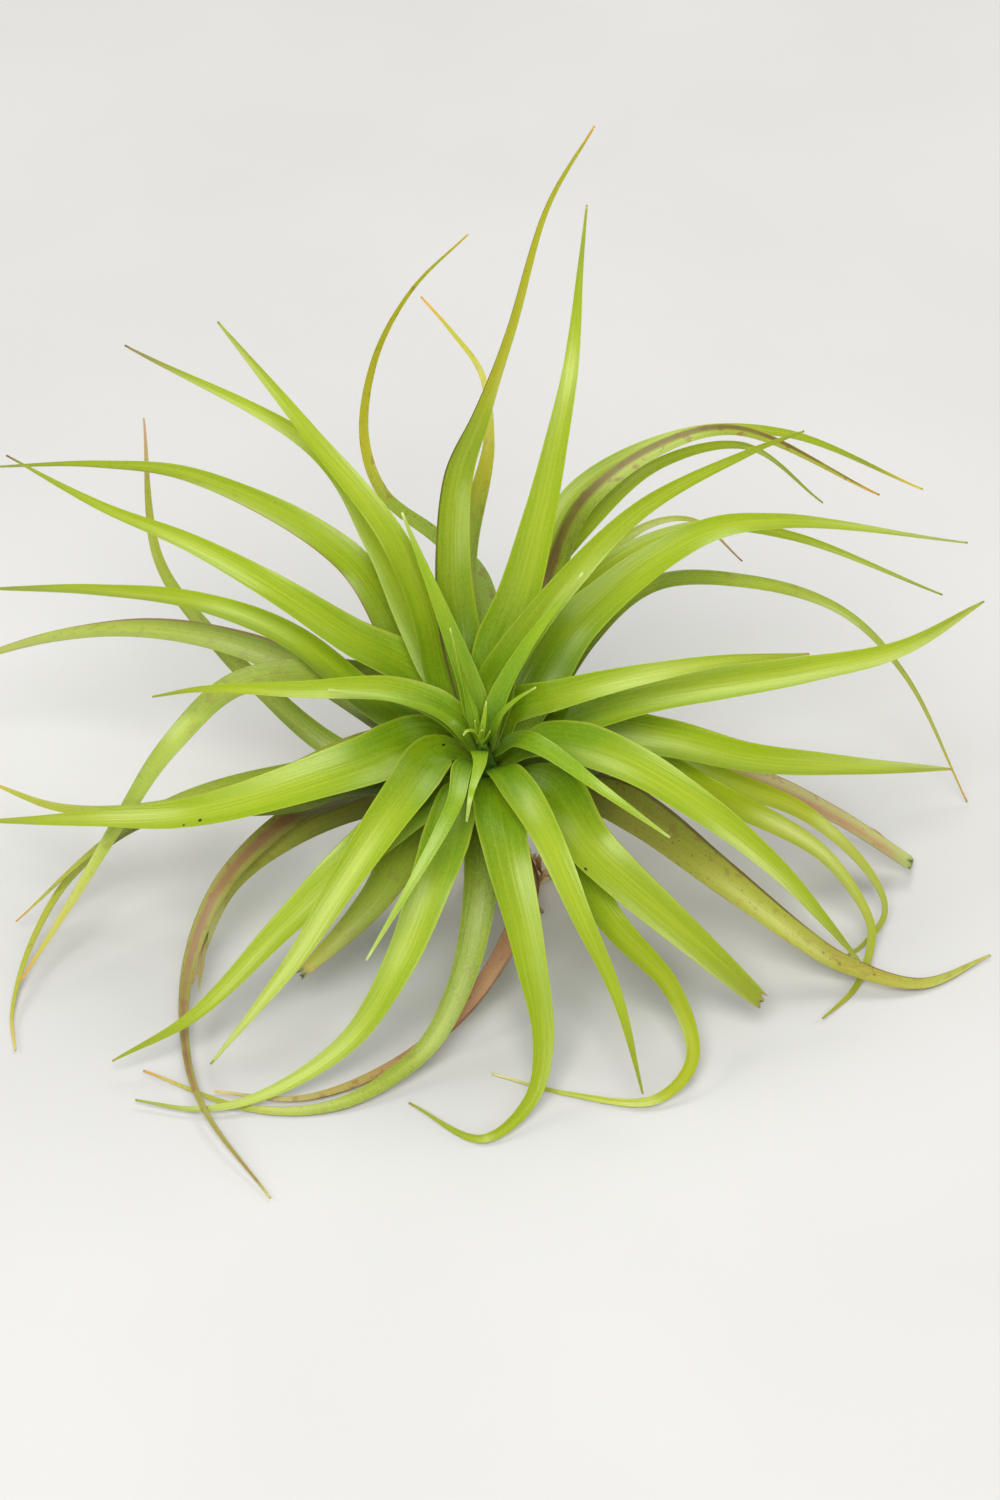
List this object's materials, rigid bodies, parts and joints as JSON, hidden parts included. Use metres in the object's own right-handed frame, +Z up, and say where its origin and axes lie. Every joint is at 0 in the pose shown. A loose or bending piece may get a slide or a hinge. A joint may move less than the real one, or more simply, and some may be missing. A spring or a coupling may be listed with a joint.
{
  "type": "air plant",
  "caption": "Air plant: a loose rosette of long, narrow, channelled green leaves that curl over and down from one short leaning stem.",
  "frame": {"origin": "middle of the flat underside of the stem's foot, where the plant rests", "axes": "+Z up, -Y towards the picture's viewer, +X to the viewer's right, along the widest spread of the leaves"},
  "size_m": [0.2758, 0.2026, 0.1785],
  "materials": {
    "young_leaf": "waxy satin, pale bloom near the tips",
    "green_leaf": "waxy satin with fine lengthwise veins",
    "old_leaf": "dull satin, scaly, browning margins",
    "reddish_leaf": "dull satin, maroon stripes and specks",
    "dry_leaf": "dry and papery",
    "stem": "rough, woody"
  },
  "bodies": {
    "root": {"stem": "stem", "dry_sheath": "dry_leaf", "heart": "young_leaf", "leaf_01_front": "young_leaf", "leaf_02_right": "young_leaf", "leaf_03_back": "young_leaf", "leaf_04_right": "young_leaf", "leaf_05_left": "young_leaf", "leaf_06_back_right": "young_leaf", "leaf_07_front_left": "young_leaf", "leaf_08_back": "young_leaf", "leaf_09_right": "green_leaf", "leaf_10_back_right": "green_leaf", "leaf_11_front_right": "green_leaf", "leaf_12_left": "green_leaf", "leaf_13_front_left": "green_leaf", "leaf_14_right": "green_leaf", "leaf_15_back": "green_leaf", "leaf_16_back_left": "green_leaf", "leaf_17_left": "green_leaf", "leaf_18_front": "green_leaf", "leaf_19_front_right": "green_leaf", "leaf_20_back_right": "green_leaf", "leaf_21_right": "green_leaf", "leaf_22_back_left": "green_leaf", "leaf_23_front_left": "green_leaf", "leaf_24_front_left": "green_leaf", "leaf_25_front_right": "green_leaf", "leaf_26_right": "green_leaf", "leaf_27_back_left": "green_leaf", "leaf_28_back_left": "green_leaf", "leaf_29_back": "green_leaf", "leaf_30_left": "green_leaf", "leaf_31_left": "old_leaf", "leaf_32_front_left": "old_leaf", "leaf_33_front_left": "old_leaf", "leaf_34_right": "old_leaf", "leaf_35_right": "green_leaf", "leaf_36_right": "green_leaf", "leaf_37_left": "old_leaf", "leaf_38_left": "old_leaf", "leaf_39_back_right": "green_leaf", "leaf_40_back_right": "old_leaf", "leaf_41_back_right": "green_leaf", "leaf_42_back_right": "old_leaf", "leaf_43_back_right": "green_leaf", "leaf_44_right": "old_leaf", "leaf_45_back": "old_leaf", "leaf_46_back": "old_leaf", "leaf_47_back_left": "old_leaf", "leaf_48_left": "old_leaf", "leaf_49_left": "old_leaf", "leaf_50_front_left": "reddish_leaf", "leaf_51_front_left": "old_leaf", "leaf_52_front_left": "reddish_leaf", "leaf_53_right": "reddish_leaf", "leaf_54_back": "reddish_leaf", "leaf_55_back_left": "dry_leaf", "leaf_56_back_right": "dry_leaf"}
  },
  "joints": []
}
